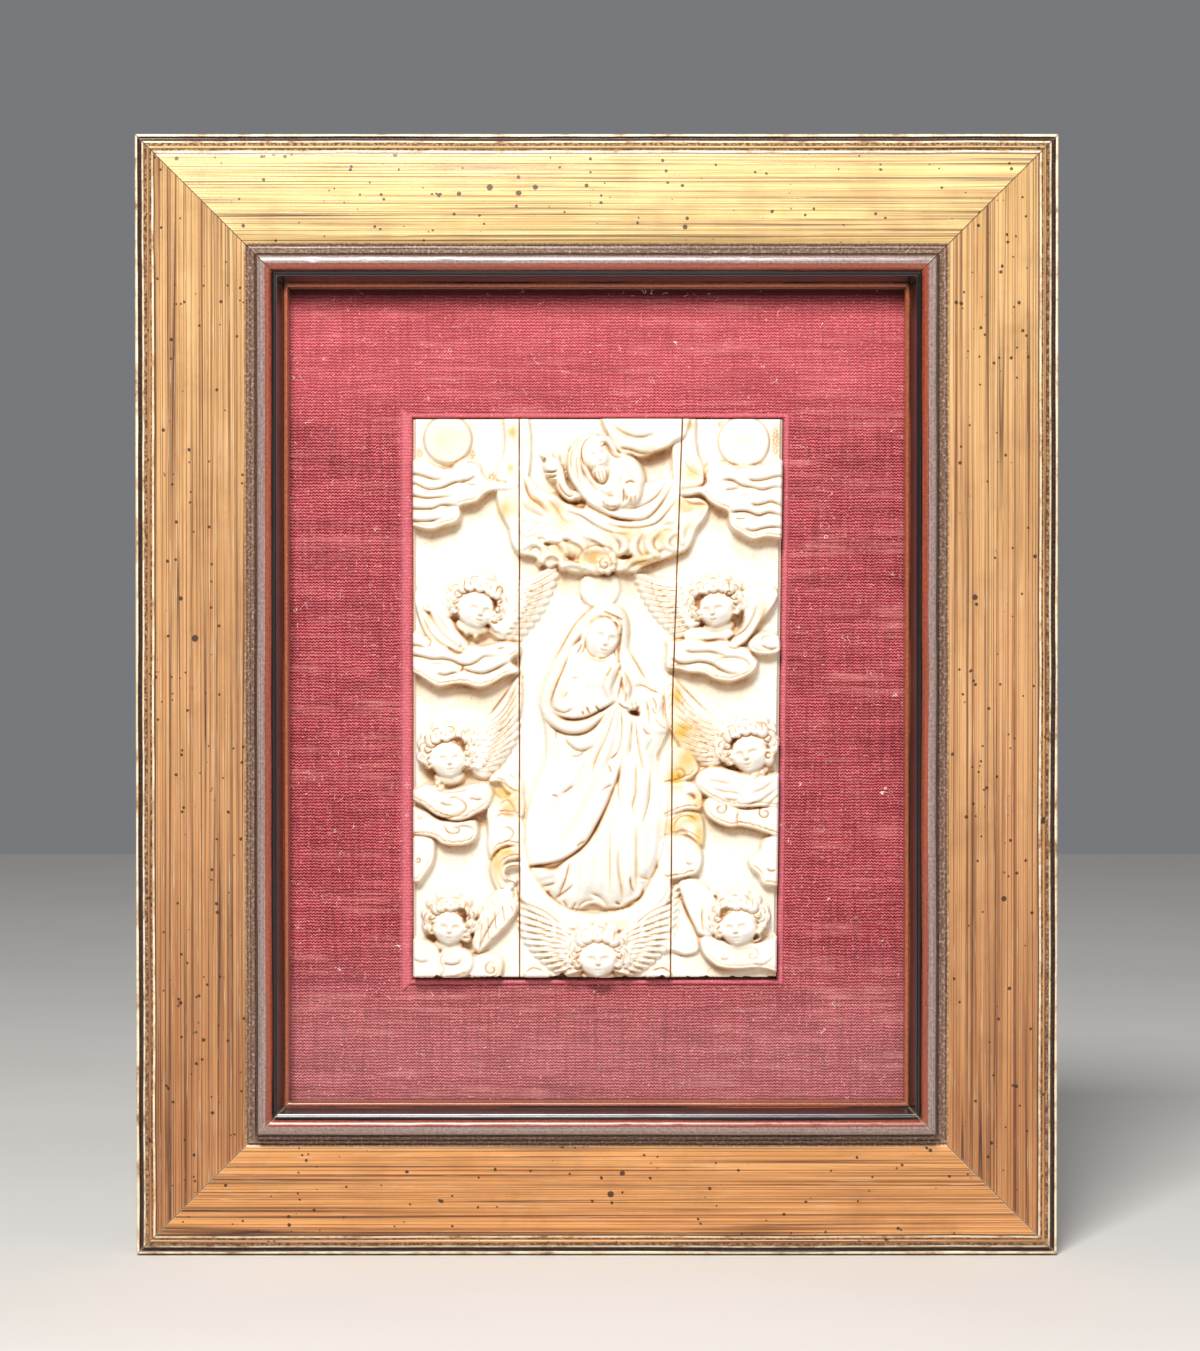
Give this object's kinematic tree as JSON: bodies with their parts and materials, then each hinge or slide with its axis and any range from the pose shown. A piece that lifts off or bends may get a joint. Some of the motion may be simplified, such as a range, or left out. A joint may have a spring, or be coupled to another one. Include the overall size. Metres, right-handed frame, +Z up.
{
  "type": "framed ivory relief carving",
  "caption": "Wall-hung ivory relief of a robed figure with winged heads and clouds, in three upright strips, on a velvet mount inside a gilt and lacquer moulding frame.",
  "frame": {"origin": "middle of the flat back of the top frame rail, where it rests on the wall", "axes": "+X to the viewer's right, +Z up along the tall side, the carved front faces -Y and the wall lies towards +Y"},
  "size_m": [0.312, 0.0285, 0.379],
  "materials": {
    "gilt_moulding": "brushed bronze-gold leaf over wood with dark streaks, red-brown and black lacquer at the inner members",
    "velvet": "worn crimson ribbed velvet",
    "backing": "plain unfinished board",
    "ivory": "polished carved ivory, cream with brown patina in the recesses"
  },
  "bodies": {
    "root": {"frame_top": "gilt_moulding", "frame_left": "gilt_moulding", "frame_bottom": "gilt_moulding", "frame_right": "gilt_moulding", "velvet_mount": "velvet", "backing_board": "backing", "ivory_left": "ivory", "ivory_centre": "ivory", "ivory_right": "ivory"}
  },
  "joints": []
}
